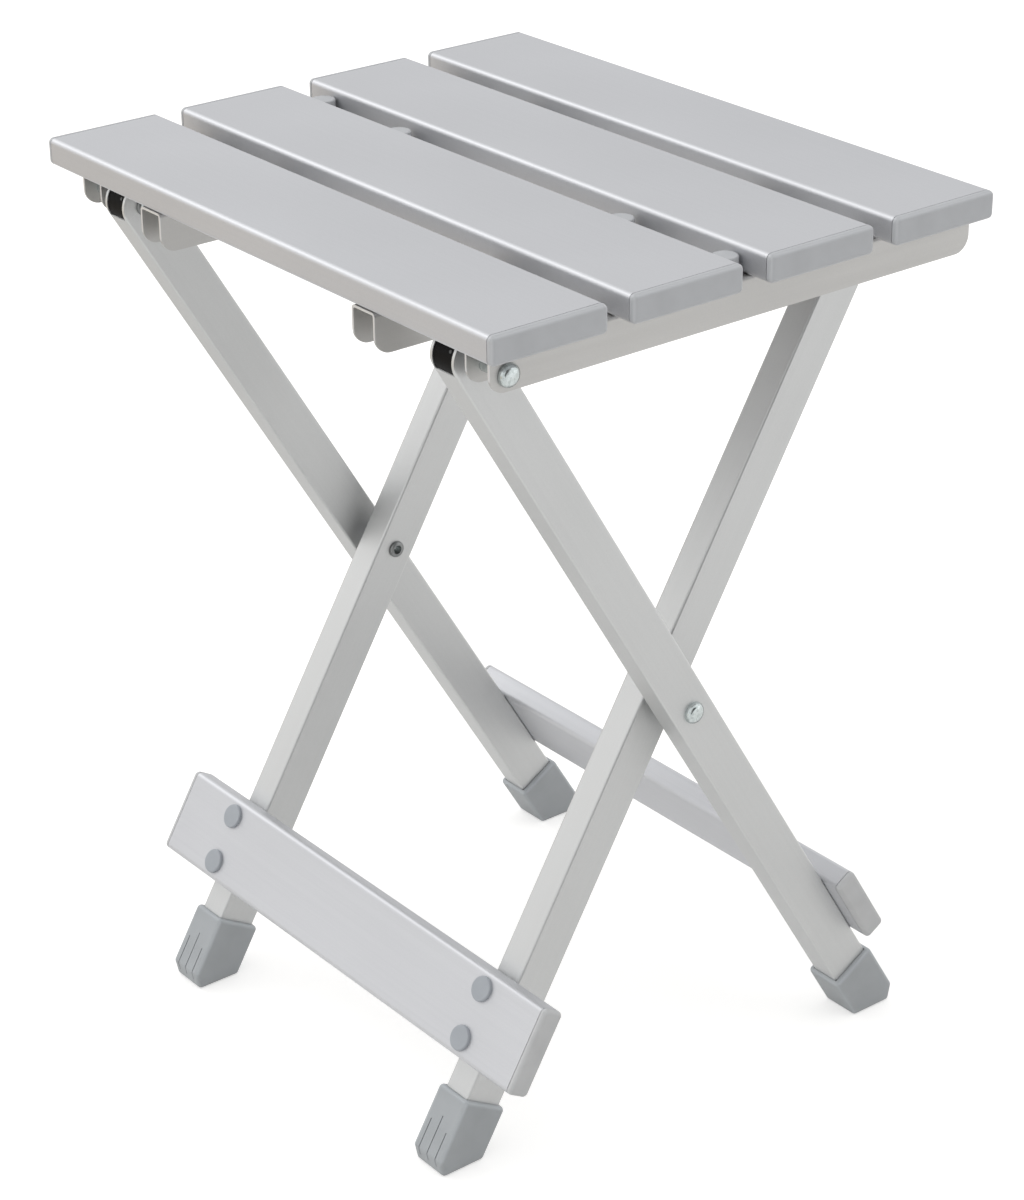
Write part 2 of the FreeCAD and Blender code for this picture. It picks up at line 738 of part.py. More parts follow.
for kind, outward, end in (("inner", -1, "front"), ("outer", 1, "rear")):
    frame = {"z": dim("cross_height"), "lean": outward}
    shift = BAR_MIDDLE * outward
    bar_y = shift * LEAN_COSINE + BAR_BELOW * LEAN_SINE * outward
    bar_z = dim("cross_height") + BAR_MIDDLE * LEAN_SINE - BAR_BELOW * LEAN_COSINE
    bar = hollow_bar(f"{end}_crossbar", BAR_LENGTH, dim("bar_thick"), dim("bar_height"))
    place(bar, -BAR_LENGTH / 2, bar_y, bar_z, lean=outward)
    back_bores = sketch_on(bar, "XZ_Plane")
    face_bores = sketch_on(bar, "XZ_Plane")
    screws, buttons = [], []
    for side, sign in SIDES:
        for step in (-1, 1):
            along = BAR_LENGTH / 2 + LEG_X[kind] * sign
            spot = SCREW_HALF_PITCH[outward] * step
            circle(back_bores, dim("screw_diameter"), along, spot)
            circle(face_bores, dim("button_bore"), along, spot)
            depth = spot - BAR_BELOW
            screw = bar_screw(f"{end}_bar_screw", LEG_X[kind] * sign, depth, outward)
            place(screw, **frame)
            screws.append(screw)
            button = bar_button(f"{end}_bar_button", LEG_X[kind] * sign, depth, outward)
            place(button, **frame)
            buttons.append(button)
    cut(bar, back_bores, dim("bar_thick") / 2, reverse=outward > 0)
    cut(bar, face_bores, dim("bar_thick") / 2, reverse=outward < 0)
    keep(bar.Label, bar)
    group(f"{end}_crossbar_screws", screws)
    group(f"{end}_crossbar_buttons", buttons)
    for side, sign in SIDES:
        name = f"{end}_crossbar_cap_{side}"
        cap = bar_cap(name, *BAR_CAP, sign)
        place(cap, BAR_LENGTH / 2 * sign, bar_y, bar_z, lean=outward)
        keep(cap.Label, cap)


# Pivot rivets: round head, plain shank and a rolled hollow tail, laid along X
def pivot_rivet(label, grip):
    """Turn one pivot rivet from its head face at zero."""
    body = new_body(label)
    profile = sketch_on(body, "XY_Plane")
    bore_end = grip - dim("pin_tail_height")
    tail = grip + dim("pin_tail_height")
    polygon(
        profile,
        [
            (-dim("pin_head_height"), ZERO),
            (-dim("pin_head_height"), dim("pin_head_diameter") / 2),
            (ZERO, dim("pin_head_diameter") / 2),
            (ZERO, dim("pin_diameter") / 2),
            (grip, dim("pin_diameter") / 2),
            (grip, dim("pin_tail_diameter") / 2),
            (tail, dim("pin_tail_diameter") / 2),
            (tail, dim("pin_tail_bore") / 2),
            (bore_end, dim("pin_tail_bore") / 2),
            (bore_end, ZERO),
        ],
    )
    turned = revolve(body, profile, "H_Axis")
    crown = -dim("pin_head_height").value
    rim = edges(
        turned, lambda e: e.Curve.TypeId == "Part::GeomCircle" and abs(e.CenterOfMass.x - crown) < 1e-3
    )
    domed = fillet(body, turned, rim, dim("pin_head_round"))
    tail_rim = edges(
        domed,
        lambda e: e.Curve.TypeId == "Part::GeomCircle"
        and abs(e.CenterOfMass.x - tail.value) < 1e-3
        and e.Curve.Radius > dim("pin_diameter").value / 2,
    )
    fillet(body, domed, tail_rim, dim("pin_tail_height") * 0.7)
    return body


def sleeve(label, length):
    """Make a spacer sleeve along X."""
    body = new_body(label)
    ring = sketch_on(body, "YZ_Plane")
    circle(ring, dim("sleeve_diameter"))
    circle(ring, PIN_BORE)
    pad(body, ring, length)
    return body


def pivot_set(name, y, z, head_x, inward, grip, sleeve_x, sleeve_length):
    """Set a rivet and a sleeve on each side, mirrored."""
    rivets, sleeves = [], []
    for side, sign in SIDES:
        flip = 180 if sign * inward > 0 else 0
        rivet = pivot_rivet(f"{name}_rivet", grip)
        place(rivet, head_x * sign, y, z, turn=flip)
        rivets.append(rivet)
        ring = sleeve(f"{name}_sleeve", sleeve_length)
        start = sleeve_x if sign > 0 else -(sleeve_x + sleeve_length)
        place(ring, start, y, z)
        sleeves.append(ring)
    group(f"{name}_rivets", rivets)
    group(f"{name}_sleeves", sleeves)


HALF_TUBE = dim("tube_width") / 2
HALF_RAIL = dim("rail_width") / 2
PLAY = dim("turn_play")
RAIL_GRIP = dim("rail_width") + dim("rail_gap") + dim("tube_width") + PLAY
CROSS_GRIP = dim("tube_width") * 2 + LEG_GAP + PLAY
pivot_set(
    "front_pivot",
    -PIVOT_SPAN,
    TOP_PIVOT,
    OUTER_RAIL_X + HALF_RAIL + PLAY,
    1,
    RAIL_GRIP,
    OUTER_LEG_X + HALF_TUBE,
    dim("rail_gap") - PLAY,
)
pivot_set(
    "rear_pivot",
    PIVOT_SPAN,
    TOP_PIVOT,
    INNER_RAIL_X - HALF_RAIL - PLAY,
    -1,
    RAIL_GRIP,
    INNER_RAIL_X + HALF_RAIL + PLAY,
    dim("rail_gap") - PLAY,
)
pivot_set(
    "cross_pivot",
    ZERO,
    dim("cross_height"),
    OUTER_LEG_X + HALF_TUBE,
    1,
    CROSS_GRIP,
    INNER_LEG_X + HALF_TUBE + PLAY,
    LEG_GAP - PLAY,
)

# Check every object, then write one file for each node
doc.recompute()
for item in doc.Objects:
    if "Invalid" in item.State or "Error" in item.State:
        raise RuntimeError(f"{item.Label}: {item.State}")
os.makedirs("parts", exist_ok=True)
for label, item in nodes.items():
    shape = item.Shape
    if shape.isNull() or not shape.isValid():
        raise RuntimeError(f"{label}: shape is not valid")
    shape.exportStep(f"parts/{label}.step")
print(len(nodes), "nodes written")
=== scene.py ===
"""Looks of a folding camping stool: finishes, gate pips, studio light and camera round its CAD frame."""

from __future__ import annotations

import logging
import math
from collections.abc import Callable
from dataclasses import dataclass
from enum import Enum
from typing import Any

import bpy
from mathutils import Matrix, Vector

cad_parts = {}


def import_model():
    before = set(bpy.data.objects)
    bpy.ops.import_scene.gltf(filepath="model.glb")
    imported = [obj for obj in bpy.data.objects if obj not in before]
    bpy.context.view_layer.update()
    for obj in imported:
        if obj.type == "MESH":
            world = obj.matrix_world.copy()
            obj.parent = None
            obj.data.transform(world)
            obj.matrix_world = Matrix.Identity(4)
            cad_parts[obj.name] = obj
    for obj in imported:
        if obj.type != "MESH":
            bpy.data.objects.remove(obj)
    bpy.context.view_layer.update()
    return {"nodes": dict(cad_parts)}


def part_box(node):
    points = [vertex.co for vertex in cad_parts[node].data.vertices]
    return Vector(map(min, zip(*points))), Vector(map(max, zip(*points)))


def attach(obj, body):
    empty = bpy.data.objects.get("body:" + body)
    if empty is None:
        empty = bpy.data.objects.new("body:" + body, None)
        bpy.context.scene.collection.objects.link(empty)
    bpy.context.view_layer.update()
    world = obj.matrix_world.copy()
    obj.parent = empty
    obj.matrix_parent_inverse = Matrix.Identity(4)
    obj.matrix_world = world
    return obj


LOG = logging.getLogger("stool")
MM = 0.001
# Half size of a piece along an axis on which its patterns meet no edge.
ENDLESS = 1.0
# Part of the range from 0 to 1 that nearly all of a noise texture keeps to.
NOISE_BAND = (0.3, 0.7)
# Share of each axis that is left when a pattern goes round X.
ROUND_X = (0.0, 1.0, 1.0)
# Least Z of the normal of a face that looks up.
UPWARD = 0.9

Pair = tuple[float, float]
Triple = tuple[float, float, float]
Socket = bpy.types.NodeSocket
Tree = bpy.types.NodeTree
CadNodes = dict[str, bpy.types.Object]
CutHighlightMask = Callable[[Tree, Socket], Socket]


class Side(Enum):
    """The stool's two sides, with the sign of X there."""

    LEFT = -1
    RIGHT = 1

    @property
    def word(self) -> str:
        """Name of the side as the nodes spell it."""
        return self.name.lower()


class Run(Enum):
    """The axis that a profile was drawn along, by its number."""

    ALONG_X = 0
    ALONG_Y = 1
    ALONG_Z = 2


def linear(hex_colour: str) -> tuple[float, float, float, float]:
    """Turn an sRGB hex value into linear light, by the standard's straight foot and power curve.

    Args:
        hex_colour: Six hex digits after a hash.

    Returns:
        Red, green, blue and a full alpha.
    """
    shares = [int(hex_colour[i:i + 2], 16) / 255 for i in (1, 3, 5)]
    light = [s / 12.92 if s <= 0.04045 else ((s + 0.055) / 1.055) ** 2.4 for s in shares]
    return (light[0], light[1], light[2], 1.0)


def per_metre(size_mm: float) -> float:
    """Texture scale at which one feature of a pattern has a real size in millimetres."""
    return 1.0 / (size_mm * MM)


def swing(middle: float, change: float) -> dict[str, float]:
    """Ranges that spread a noise evenly about a value.

    Args:
        middle: Value where the noise is half way.
        change: Most that the noise adds or takes away.

    Returns:
        Ends of both ranges, by input name.
    """
    start, end = NOISE_BAND
    return {"From Min": start, "From Max": end, "To Min": middle - change, "To Max": middle + change}


def add_node(
    tree: Tree, kind: str, settings: dict[Any, Any] | None = None, links: dict[Any, Socket] | None = None
) -> bpy.types.Node:
    """Add one node with its settings and links.

    Args:
        tree: Node tree that takes the node.
        kind: Blender's type name of the node.
        settings: Values by attribute name, input name or input number.
        links: Sockets to join, by input name or input number.

    Returns:
        The new node.
    """
    node = tree.nodes.new(kind)
    for key, value in (settings or {}).items():
        if isinstance(key, int) or key in node.inputs:
            node.inputs[key].default_value = value
        else:
            setattr(node, key, value)
    for key, source in (links or {}).items():
        tree.links.new(source, node.inputs[key])
    return node


def new_material(name: str) -> tuple[bpy.types.Material, Tree]:
    """Start a material with an empty node tree.

    Args:
        name: Name of the finish on its piece.

    Returns:
        The material and its tree.
    """
    material = bpy.data.materials.new(name)
    material.use_nodes = True
    material.node_tree.nodes.clear()
    return material, material.node_tree


def close_material(tree: Tree, surface: Socket) -> None:
    """Join a surface to the material's output."""
    add_node(tree, "ShaderNodeOutputMaterial", links={"Surface": surface})


@dataclass(frozen=True)
class Axes:
    """A piece's own axes: where its centre lies and how far it leans about X.

    Attributes:
        centre: Centre in the stool's frame, in metres.
        lean: Turn about X, in radians.
        half: Half sizes along its own axes, in metres, for patterns that follow its edges.
    """

    centre: Triple = (0.0, 0.0, 0.0)
    lean: float = 0.0
    half: Triple = (ENDLESS, ENDLESS, ENDLESS)

    @property
    def has_edges(self) -> bool:
        """Whether the half sizes give the piece edges that a pattern can follow."""
        return min(self.half) < ENDLESS

    def coordinates(self, tree: Tree) -> Socket:
        """Object coordinates, moved and turned into the piece's own axes.

        Args:
            tree: Node tree of the material.

        Returns:
            Vector socket in metres.
        """
        source = add_node(tree, "ShaderNodeTexCoord")
        own = add_node(
            tree,
            "ShaderNodeMapping",
            {"vector_type": "TEXTURE", "Location": self.centre, "Rotation": (self.lean, 0.0, 0.0)},
            {"Vector": source.outputs["Object"]},
        )
        return own.outputs["Vector"]

    def edge_mask(self, tree: Tree, own: Socket, width_mm: float) -> Socket:
        """Mask of the edges, where two faces of the piece's own box meet.

        Args:
            tree: Node tree of the material.
            own: Coordinates in the piece's own axes.
            width_mm: How far the mask reaches from a corner.

        Returns:
            Value socket, 1 on an edge and 0 on the flats.
        """
        spread = add_node(tree, "ShaderNodeVectorMath", {"operation": "ABSOLUTE"}, {0: own})
        depth = add_node(
            tree, "ShaderNodeVectorMath", {"operation": "SUBTRACT", 0: self.half}, {1: spread.outputs[0]}
        )
        first, second, third = add_node(tree, "ShaderNodeSeparateXYZ", links={0: depth.outputs[0]}).outputs
        # An edge is near two faces, so the second smallest of the three depths is what counts.
        least, most = {"operation": "MINIMUM"}, {"operation": "MAXIMUM"}
        lower = add_node(tree, "ShaderNodeMath", least, {0: first, 1: second}).outputs[0]
        upper = add_node(tree, "ShaderNodeMath", most, {0: first, 1: second}).outputs[0]
        capped = add_node(tree, "ShaderNodeMath", least, {0: upper, 1: third}).outputs[0]
        middle = add_node(tree, "ShaderNodeMath", most, {0: lower, 1: capped}).outputs[0]
        mask = add_node(
            tree,
            "ShaderNodeMapRange",
            {"interpolation_type": "SMOOTHSTEP", "From Min": width_mm * MM, "From Max": 0.0},
            {"Value": middle},
        )
        return mask.outputs["Result"]


@dataclass(frozen=True)
class AnodisedAluminium:
    """Extruded aluminium, etched and clear anodised.

    The etch gives a soft even sheen, the die leaves faint lines along the profile, and a painted highlight
    lightens the long corners.

    Attributes:
        name: Name of the finish.
        colour: Colour of the flats.
        highlight_colour: Colour of the painted highlight on the corners and on the cut ends, whose metal is
            exposed.
        roughness: Roughness of the etched flats.
        line_mm: Spacing of the die lines, drawn wider than the real few tenths so that they show.
        line_length_mm: Length over which a die line changes.
        line_swing: Change of roughness from line to line.
        grain_mm: Etch grain, drawn coarser than the real tenth of a millimetre so that it shows.
        grain_swing: Share by which the grain changes the tone.
        grain_height: Height of the grain beside that of the lines.
        drift_mm: Size of the slow change in tone from the anodising bath.
        drift_swing: Share by which the bath changes the tone.
        highlight_mm: Reach of the painted highlight on the corners.
        highlight_share: How far the corners go toward the painted highlight colour.
        rub_polish: Roughness taken away on the highlighted corners.
        relief_mm: Height of the lines and the grain.
        relief: Strength of that height in the light.
    """

    name: str
    colour: str = "#CCCDD0"
    highlight_colour: str = "#DEDFE1"
    roughness: float = 0.58
    line_mm: float = 1.1
    line_length_mm: float = 160.0
    line_swing: float = 0.03
    grain_mm: float = 0.55
    grain_swing: float = 0.015
    grain_height: float = 0.5
    drift_mm: float = 95.0
    drift_swing: float = 0.02
    highlight_mm: float = 2.6
    highlight_share: float = 0.3
    rub_polish: float = 0.14
    relief_mm: float = 0.02
    relief: float = 0.08

    def material(self, label: str, axes: Axes, run: Run, cut: CutHighlightMask | None = None) -> bpy.types.Material:
        """Build the finish for one piece.

        Args:
            label: Name of the piece.
            axes: The piece's own axes.
            run: Axis that the profile was drawn along.
            cut: Function of the tree and own coordinates masking the cut ends: exposed metal and painted
                highlight.

        Returns:
            The material.
        """
        material, tree = new_material(f"{self.name}_{label}")
        own = axes.coordinates(tree)
        lines, grain, drift = self.patterns(tree, own, run)
        # Painted highlight: a mask of the long corners, which lightens their colour and lowers their
        # roughness.
        edge_highlight = axes.edge_mask(tree, own, self.highlight_mm)
        bath = swing(1.0, self.drift_swing)
        tone = add_node(tree, "ShaderNodeMapRange", bath, {"Value": drift}).outputs["Result"]
        etch = swing(1.0, self.grain_swing)
        speck = add_node(tree, "ShaderNodeMapRange", etch, {"Value": grain}).outputs["Result"]
        shade = add_node(tree, "ShaderNodeMath", {"operation": "MULTIPLY"}, {0: tone, 1: speck}).outputs[0]
        base = {"operation": "SCALE", 0: linear(self.colour)[:3]}
        flat = add_node(tree, "ShaderNodeVectorMath", base, {"Scale": shade}).outputs[0]
        # The corners and the cut ends are mixed toward a lighter colour: a painted highlight.
        share = {"operation": "MULTIPLY", 1: self.highlight_share}
        highlight_fac = add_node(tree, "ShaderNodeMath", share, {0: edge_highlight}).outputs[0]
        if cut is not None:
            ends = {0: highlight_fac, 1: cut(tree, own)}
            highlight_fac = add_node(tree, "ShaderNodeMath", {"operation": "MAXIMUM"}, ends).outputs[0]
        colour = add_node(
            tree, "ShaderNodeMixRGB", {"Color2": linear(self.highlight_colour)}, {"Fac": highlight_fac, "Color1": flat}
        ).outputs["Color"]
        satin = swing(self.roughness, self.line_swing)
        sheen = add_node(tree, "ShaderNodeMapRange", satin, {"Value": lines}).outputs["Result"]
        polish = {"operation": "MULTIPLY_ADD", 1: -self.rub_polish}
        polished = add_node(tree, "ShaderNodeMath", polish, {0: edge_highlight, 2: sheen}).outputs[0]
        rise = {"operation": "MULTIPLY_ADD", 1: self.grain_height}
        height = add_node(tree, "ShaderNodeMath", rise, {0: grain, 2: lines}).outputs[0]
        depth = {"Strength": self.relief, "Distance": self.relief_mm * MM}
        bump = add_node(tree, "ShaderNodeBump", depth, {"Height": height})
        surface = add_node(
            tree,
            "ShaderNodeBsdfPrincipled",
            {"Metallic": 1.0},
            {"Base Color": colour, "Roughness": polished, "Normal": bump.outputs["Normal"]},
        )
        close_material(tree, surface.outputs["BSDF"])
        return material

    def patterns(self, tree: Tree, own: Socket, run: Run) -> tuple[Socket, Socket, Socket]:
        """Draw the noises that the finish is made of.

        Args:
            tree: Node tree of the material.
            own: Coordinates in the piece's own axes.
            run: Axis that the profile was drawn along.

        Returns:
            Value sockets of the die lines, the etch grain and the drift of the bath.
        """
        stretch = [1.0, 1.0, 1.0]
        stretch[run.value] = self.line_mm / self.line_length_mm
        drawn = add_node(tree, "ShaderNodeMapping", {"Scale": stretch}, {"Vector": own})
        lines = add_node(
            tree,
            "ShaderNodeTexNoise",
            {"Scale": per_metre(self.line_mm), "Detail": 3.0, "Roughness": 0.6},
            {"Vector": drawn.outputs["Vector"]},
        )
        fine = {"Scale": per_metre(self.grain_mm), "Detail": 2.0}
        grain = add_node(tree, "ShaderNodeTexNoise", fine, {"Vector": own})
        slow = {"Scale": per_metre(self.drift_mm), "Detail": 1.0}
        drift = add_node(tree, "ShaderNodeTexNoise", slow, {"Vector": own})
        return lines.outputs["Fac"], grain.outputs["Fac"], drift.outputs["Fac"]


@dataclass(frozen=True)
class MouldedPlastic:
    """Injection moulded plastic with a spark eroded mould texture.

    The mould's texture breaks up the highlight, the colour clouds slightly where the melt met, and a
    painted highlight lightens the long corners.

    Attributes:
        name: Name of the finish.
        colour: Colour of the moulding.
        highlight_colour: Colour of the painted highlight on its corners, or None where it has none.
        roughness: Roughness of the textured skin.
        texture_mm: Size of the mould texture, drawn coarser than the real tenth or two so that it shows.
        texture_swing: Change of roughness in the texture.
        cloud_mm: Size of the slow clouding.
        cloud_tone: Share of the colour that a middling cloud shows.
        cloud_swing: Share by which the clouds change it.
        highlight_mm: Reach of the painted highlight on the corners.
        specular: Strength of the skin's own reflection.
        relief_mm: Height of the mould texture.
        relief: Strength of that height in the light.
    """

    name: str
    colour: str
    highlight_colour: str | None = None
    roughness: float = 0.5
    texture_mm: float = 0.6
    texture_swing: float = 0.06
    cloud_mm: float = 14.0
    cloud_tone: float = 0.99
    cloud_swing: float = 0.04
    highlight_mm: float = 1.8
    specular: float = 0.5
    relief_mm: float = 0.03
    relief: float = 0.25

    def material(self, label: str, axes: Axes) -> bpy.types.Material:
        """Build the finish for one piece.

        Args:
            label: Name of the piece.
            axes: The piece's own axes.

        Returns:
            The material.
        """
        material, tree = new_material(f"{self.name}_{label}")
        own = axes.coordinates(tree)
        fine = {"Scale": per_metre(self.texture_mm), "Detail": 3.0}
        texture = add_node(tree, "ShaderNodeTexNoise", fine, {"Vector": own}).outputs["Fac"]
        slow = {"Scale": per_metre(self.cloud_mm), "Detail": 2.0}
        cloud = add_node(tree, "ShaderNodeTexNoise", slow, {"Vector": own}).outputs["Fac"]
        clouding = swing(self.cloud_tone, self.cloud_swing)
        tone = add_node(tree, "ShaderNodeMapRange", clouding, {"Value": cloud}).outputs["Result"]
        base = {"operation": "SCALE", 0: linear(self.colour)[:3]}
        colour = add_node(tree, "ShaderNodeVectorMath", base, {"Scale": tone}).outputs[0]
        # Painted highlight: the long corners are mixed toward a lighter colour.
        if self.highlight_colour and axes.has_edges:
            edge_highlight = axes.edge_mask(tree, own, self.highlight_mm)
            colour = add_node(
                tree, "ShaderNodeMixRGB", {"Color2": linear(self.highlight_colour)}, {"Fac": edge_highlight, "Color1": colour}
            ).outputs["Color"]
        sheen = swing(self.roughness, self.texture_swing)
        skin = add_node(tree, "ShaderNodeMapRange", sheen, {"Value": texture}).outputs["Result"]
        depth = {"Strength": self.relief, "Distance": self.relief_mm * MM}
        bump = add_node(tree, "ShaderNodeBump", depth, {"Height": texture})
        surface = add_node(
            tree,
            "ShaderNodeBsdfPrincipled",
            {"IOR": 1.5, "Specular IOR Level": self.specular},
            {"Base Color": colour, "Roughness": skin, "Normal": bump.outputs["Normal"]},
        )
        close_material(tree, surface.outputs["BSDF"])
        return material


@dataclass(frozen=True)
class ZincPlate:
    """Zinc plated steel: bright, slightly blue, with small crystal spangles that tilt the sheen.

    The pivot rivets' tails are painted dark as shade and made rougher, so they read dull and dark.

    Attributes:
        name: Name of the finish.
        bright: Colour of the brightest crystals.
        dull: Colour of the dullest crystals.
        tail_shade: Colour of the painted shade on the pivot rivets' tails.
        roughness: Roughness of the dullest and of the brightest crystals.
        tail_roughness: Roughness added on the tails.
        crystal_mm: Size of a crystal.
        crown: Fall of a pivot rivet's crowned head for each square metre of the squared distance from its
            axis, in metres.
        relief_mm: Height of the crystals.
        relief: Strength of that height in the light.
    """

    name: str = "zinc_plated_steel"
    bright: str = "#D6DDDD"
    dull: str = "#BCC4C4"
    tail_shade: str = "#8C8E8E"
    roughness: Pair = (0.10, 0.26)
    tail_roughness: float = 0.2
    crystal_mm: float = 1.3
    crown: float = 40.0
    relief_mm: float = 0.03
    relief: float = 0.1

    def material(self, label: str, tails: float = 0.0) -> bpy.types.Material:
        """Build the finish for one piece.

        Args:
            label: Name of the piece.
            tails: Distance from the stool's middle within which a pivot's rivet tails lie, in metres. It is
                0 on rivets and screws that have no crowned heads.

        Returns:
            The material.
        """
        material, tree = new_material(f"{self.name}_{label}")
        low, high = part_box(label)
        own = Axes(tuple((low + high) / 2)).coordinates(tree)
        size = {"Scale": per_metre(self.crystal_mm)}
        crystals = add_node(tree, "ShaderNodeTexVoronoi", size, {"Vector": own})
        tint = add_node(tree, "ShaderNodeSeparateXYZ", links={0: crystals.outputs["Color"]}).outputs[0]
        plating = {"Color1": linear(self.dull), "Color2": linear(self.bright)}
        colour = add_node(tree, "ShaderNodeMixRGB", plating, {"Fac": tint}).outputs["Color"]
        ends = {"To Min": self.roughness[0], "To Max": self.roughness[1]}
        sheen = add_node(tree, "ShaderNodeMapRange", ends, {"Value": tint}).outputs["Result"]
        shapes = {"Height": crystals.outputs["Distance"]}
        if tails:
            across = add_node(tree, "ShaderNodeSeparateXYZ", links={0: own}).outputs[0]
            reach = add_node(tree, "ShaderNodeMath", {"operation": "ABSOLUTE"}, {0: across}).outputs[0]
            within = {"operation": "LESS_THAN", 1: tails}
            tail = add_node(tree, "ShaderNodeMath", within, {0: reach}).outputs[0]
            # Painted shade: the tails inboard of the legs take a dark colour.
            tail_shade, plated = {"Color2": linear(self.tail_shade)}, {"Fac": tail, "Color1": colour}
            colour = add_node(tree, "ShaderNodeMixRGB", tail_shade, plated).outputs["Color"]
            dulled = {"operation": "MULTIPLY_ADD", 1: self.tail_roughness}
            sheen = add_node(tree, "ShaderNodeMath", dulled, {0: tail, 2: sheen}).outputs[0]
            shapes["Normal"] = self.crowned(tree, own)
        depth = {"Strength": self.relief, "Distance": self.relief_mm * MM}
        bump = add_node(tree, "ShaderNodeBump", depth, shapes)
        surface = add_node(
            tree,
            "ShaderNodeBsdfPrincipled",
            {"Metallic": 1.0},
            {"Base Color": colour, "Roughness": sheen, "Normal": bump.outputs["Normal"]},
        )
        close_material(tree, surface.outputs["BSDF"])
        return material

    def crowned(self, tree: Tree, own: Socket) -> Socket:
        """Tilt of the light on a rivet's crowned head.

        Args:
            tree: Node tree of the material.
            own: Coordinates from the rivets' common axis.

        Returns:
            Normal socket.
        """
        keep = {"operation": "MULTIPLY", 1: ROUND_X}
        arm = add_node(tree, "ShaderNodeVectorMath", keep, {0: own}).outputs[0]
        square = add_node(tree, "ShaderNodeVectorMath", {"operation": "DOT_PRODUCT"}, {0: arm, 1: arm})
        slope = {"operation": "MULTIPLY", 1: -self.crown}
        fall = add_node(tree, "ShaderNodeMath", slope, {0: square.outputs["Value"]}).outputs[0]
        # The fall is in metres already, so the bump takes it at full strength.
        full = {"Strength": 1.0, "Distance": 1.0}
        return add_node(tree, "ShaderNodeBump", full, {"Height": fall}).outputs["Normal"]


SLAT_METAL = AnodisedAluminium("anodised_slat")
# The slat finish made lighter as painted light, so that the crossbars render brighter than the slats.
BAR_METAL = AnodisedAluminium("anodised_bar", colour="#D1D2D5", highlight_colour="#E1E2E4")
TUBE_METAL = AnodisedAluminium(
    "anodised_tube", colour="#D0D1D1", highlight_colour="#D8D9D9", roughness=0.5, highlight_mm=1.2
)
RAIL_METAL = AnodisedAluminium("anodised_rail", colour="#C4C3C1", roughness=0.5, line_mm=1.6, highlight_mm=1.5)
CAP_PLASTIC = MouldedPlastic("moulded_cap", "#B9BBBE", "#CBCDD0")
BAR_CAP_PLASTIC = MouldedPlastic("moulded_bar_cap", "#C9CACB", "#D5D7D9")
BUTTON_PLASTIC = MouldedPlastic("moulded_button", "#A8ADB3", roughness=0.42)
BOOT_PLASTIC = MouldedPlastic("moulded_boot", "#ADB1B4", "#C0C5C9", roughness=0.46, highlight_mm=2.4)
BLACK_PLASTIC = MouldedPlastic("moulded_black", "#070708", specular=0.1)
GATE_PLASTIC = MouldedPlastic("moulded_gate", "#4A4B4C", roughness=0.35)
ZINC = ZincPlate()


def wear(obj: bpy.types.Object, material: bpy.types.Material) -> None:
    """Give an object one material in all its slots.

    Args:
        obj: CAD node or new piece.
        material: Finish to wear.
    """
    if not obj.material_slots:
        obj.data.materials.append(material)
    for slot in obj.material_slots:
        slot.material = material
    LOG.info("%s wears %s", obj.name, material.name)


@dataclass
class SeatHalf:
    """One half of the seat: a pair of slats with caps on the channel rails that carry them.

    Attributes:
        body: Body that the half belongs to.
        rails: Word for its rails, outer or inner.
        slats: Numbers of its slats.
        cap_reach: Length of a cap with its plug and more, so that only its outer edges get the painted
            highlight.
        cut_highlight_mm: Distances from a rail's ends at which the painted highlight of the cut edge starts
            and is full.
    """

    body: str
    rails: str
    slats: tuple[int, int]
    cap_reach: float = 0.05
    cut_highlight_mm: Pair = (0.4, 0.1)

    def dress(self, nodes: CadNodes) -> None:
        """Give every node of the half its finish.

        Args:
            nodes: CAD objects by name.
        """
        for number in self.slats:
            self.dress_slat(nodes, f"slat_{number}")
        for side in Side:
            self.dress_rail(nodes, side)
            stud = f"{self.rails}_stud_{side.word}"
            wear(nodes[stud], CAP_PLASTIC.material(stud, Axes()))
        rivets = f"{self.rails}_rail_rivets"
        wear(nodes[rivets], ZINC.material(rivets))

    def dress_slat(self, nodes: CadNodes, slat: str) -> None:
        """Give one slat and the caps in its ends their finishes.

        Args:
            nodes: CAD objects by name.
            slat: Name of the slat.
        """
        low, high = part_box(slat)
        centre, half = (low + high) / 2, (high - low) / 2
        section = Axes(tuple(centre), half=(ENDLESS, half.y, half.z))
        wear(nodes[slat], SLAT_METAL.material(slat, section, Run.ALONG_X))
        for side in Side:
            cap = f"{slat}_cap_{side.word}"
            left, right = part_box(cap)
            end = left.x if side is Side.LEFT else right.x
            spot = (end - side.value * self.cap_reach, centre.y, centre.z)
            axes = Axes(spot, half=(self.cap_reach, half.y, half.z))
            wear(nodes[cap], CAP_PLASTIC.material(cap, axes))

    def dress_rail(self, nodes: CadNodes, side: Side) -> None:
        """Give one rail its finish, with exposed metal and a painted highlight where the sheet was cut.

        Args:
            nodes: CAD objects by name.
            side: Side of the rail.
        """
        name = f"{self.rails}_rail_{side.word}"
        low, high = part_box(name)
        centre, half = (low + high) / 2, (high - low) / 2
        start, full = (half.y - edge * MM for edge in self.cut_highlight_mm)

        def cut_end_highlight(tree: Tree, own: Socket) -> Socket:
            """Mask of the rail's two end faces, which take a painted highlight.

            Args:
                tree: Node tree of the material.
                own: Coordinates in the rail's own axes.

            Returns:
                Value socket, 1 on the cut ends.
            """
            along = add_node(tree, "ShaderNodeSeparateXYZ", links={0: own}).outputs[1]
            reach = add_node(tree, "ShaderNodeMath", {"operation": "ABSOLUTE"}, {0: along}).outputs[0]
            band = {"From Min": start, "From Max": full}
            return add_node(tree, "ShaderNodeMapRange", band, {"Value": reach}).outputs["Result"]

        # The channel is open below, so its box goes on downward and only the top corners get the painted
        # highlight.
        axes = Axes((centre.x, centre.y, low.z), half=(half.x, ENDLESS, high.z - low.z))
        wear(nodes[name], RAIL_METAL.material(name, axes, Run.ALONG_Y, cut_end_highlight))


